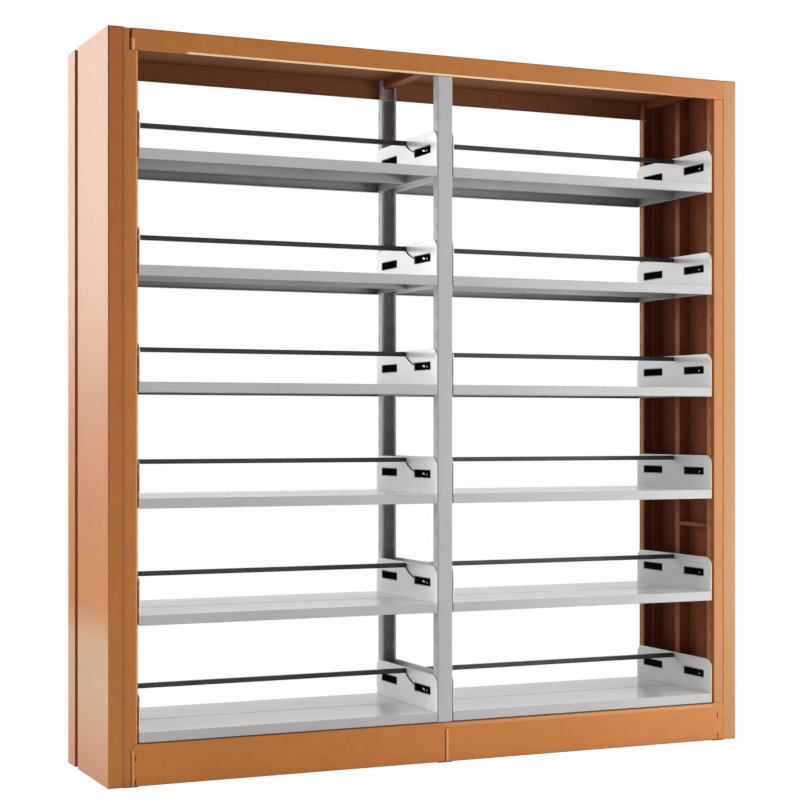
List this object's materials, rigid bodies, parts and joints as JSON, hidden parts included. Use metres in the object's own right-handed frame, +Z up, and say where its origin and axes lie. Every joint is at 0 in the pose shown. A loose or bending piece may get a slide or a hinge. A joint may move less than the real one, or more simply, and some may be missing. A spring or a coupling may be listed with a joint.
{
  "type": "double sided library shelving",
  "caption": "Double-sided steel library shelving: two bays of hook-on shelves with end brackets and book stop bars, between end guards, a top cover and plinth boards.",
  "frame": {"origin": "on the floor, in the middle of the unit's length and depth", "axes": "+X along the row, +Y from the front face to the rear face, +Z up"},
  "size_m": [1.944, 0.44, 2],
  "materials": {
    "brown_steel": "satin orange-brown powder coat",
    "guard_joint": "satin dark red-brown powder coat",
    "grey_steel": "satin light grey powder coat",
    "shelf_steel": "satin light grey powder coat",
    "bracket_steel": "satin light grey powder coat",
    "stop_steel": "satin dark grey powder coat",
    "black_plastic": "moulded black plastic"
  },
  "bodies": {
    "root": {"right_front_post": "brown_steel", "left_rear_post": "brown_steel", "left_front_post": "brown_steel", "right_rear_post": "brown_steel", "centre_front_post": "grey_steel", "centre_rear_post": "grey_steel", "right_frame_ties": "brown_steel", "left_frame_ties": "brown_steel", "centre_frame_ties": "brown_steel", "foot_pads": "black_plastic", "top_cover": "brown_steel", "right_front_plinth": "brown_steel", "left_rear_plinth": "brown_steel", "left_front_plinth": "brown_steel", "right_rear_plinth": "brown_steel", "right_guard_cover": "brown_steel", "left_guard_cover": "brown_steel", "right_guard_strip": "brown_steel", "left_guard_strip": "brown_steel", "right_guard_joint": "guard_joint", "left_guard_joint": "guard_joint", "right_guard_ribs": "brown_steel", "left_guard_ribs": "brown_steel"},
    "left_1": {"left_1_shelves": "shelf_steel", "left_1_brackets": "bracket_steel", "left_1_book_stop": "stop_steel"},
    "left_2": {"left_2_shelves": "shelf_steel", "left_2_brackets": "bracket_steel", "left_2_book_stop": "stop_steel"},
    "left_3": {"left_3_shelves": "shelf_steel", "left_3_brackets": "bracket_steel", "left_3_book_stop": "stop_steel"},
    "left_4": {"left_4_shelves": "shelf_steel", "left_4_brackets": "bracket_steel", "left_4_book_stop": "stop_steel"},
    "left_5": {"left_5_shelves": "shelf_steel", "left_5_brackets": "bracket_steel", "left_5_book_stop": "stop_steel"},
    "left_6": {"left_6_shelves": "shelf_steel", "left_6_brackets": "bracket_steel", "left_6_book_stop": "stop_steel"},
    "right_1": {"right_1_shelves": "shelf_steel", "right_1_brackets": "bracket_steel", "right_1_book_stop": "stop_steel"},
    "right_2": {"right_2_shelves": "shelf_steel", "right_2_brackets": "bracket_steel", "right_2_book_stop": "stop_steel"},
    "right_3": {"right_3_shelves": "shelf_steel", "right_3_brackets": "bracket_steel", "right_3_book_stop": "stop_steel"},
    "right_4": {"right_4_shelves": "shelf_steel", "right_4_brackets": "bracket_steel", "right_4_book_stop": "stop_steel"},
    "right_5": {"right_5_shelves": "shelf_steel", "right_5_brackets": "bracket_steel", "right_5_book_stop": "stop_steel"},
    "right_6": {"right_6_shelves": "shelf_steel", "right_6_brackets": "bracket_steel", "right_6_book_stop": "stop_steel"}
  },
  "joints": [
    {"name": "left_1_lift_off", "type": "slide", "parent": "root", "child": "left_1", "axis": [0, 0, 1], "range_m": [0, 0.009]},
    {"name": "left_2_lift_off", "type": "slide", "parent": "root", "child": "left_2", "axis": [0, 0, 1], "range_m": [0, 0.009]},
    {"name": "left_3_lift_off", "type": "slide", "parent": "root", "child": "left_3", "axis": [0, 0, 1], "range_m": [0, 0.009]},
    {"name": "left_4_lift_off", "type": "slide", "parent": "root", "child": "left_4", "axis": [0, 0, 1], "range_m": [0, 0.009]},
    {"name": "left_5_lift_off", "type": "slide", "parent": "root", "child": "left_5", "axis": [0, 0, 1], "range_m": [0, 0.009]},
    {"name": "left_6_lift_off", "type": "slide", "parent": "root", "child": "left_6", "axis": [0, 0, 1], "range_m": [0, 0.009]},
    {"name": "right_1_lift_off", "type": "slide", "parent": "root", "child": "right_1", "axis": [0, 0, 1], "range_m": [0, 0.009]},
    {"name": "right_2_lift_off", "type": "slide", "parent": "root", "child": "right_2", "axis": [0, 0, 1], "range_m": [0, 0.009]},
    {"name": "right_3_lift_off", "type": "slide", "parent": "root", "child": "right_3", "axis": [0, 0, 1], "range_m": [0, 0.009]},
    {"name": "right_4_lift_off", "type": "slide", "parent": "root", "child": "right_4", "axis": [0, 0, 1], "range_m": [0, 0.009]},
    {"name": "right_5_lift_off", "type": "slide", "parent": "root", "child": "right_5", "axis": [0, 0, 1], "range_m": [0, 0.009]},
    {"name": "right_6_lift_off", "type": "slide", "parent": "root", "child": "right_6", "axis": [0, 0, 1], "range_m": [0, 0.009]}
  ]
}
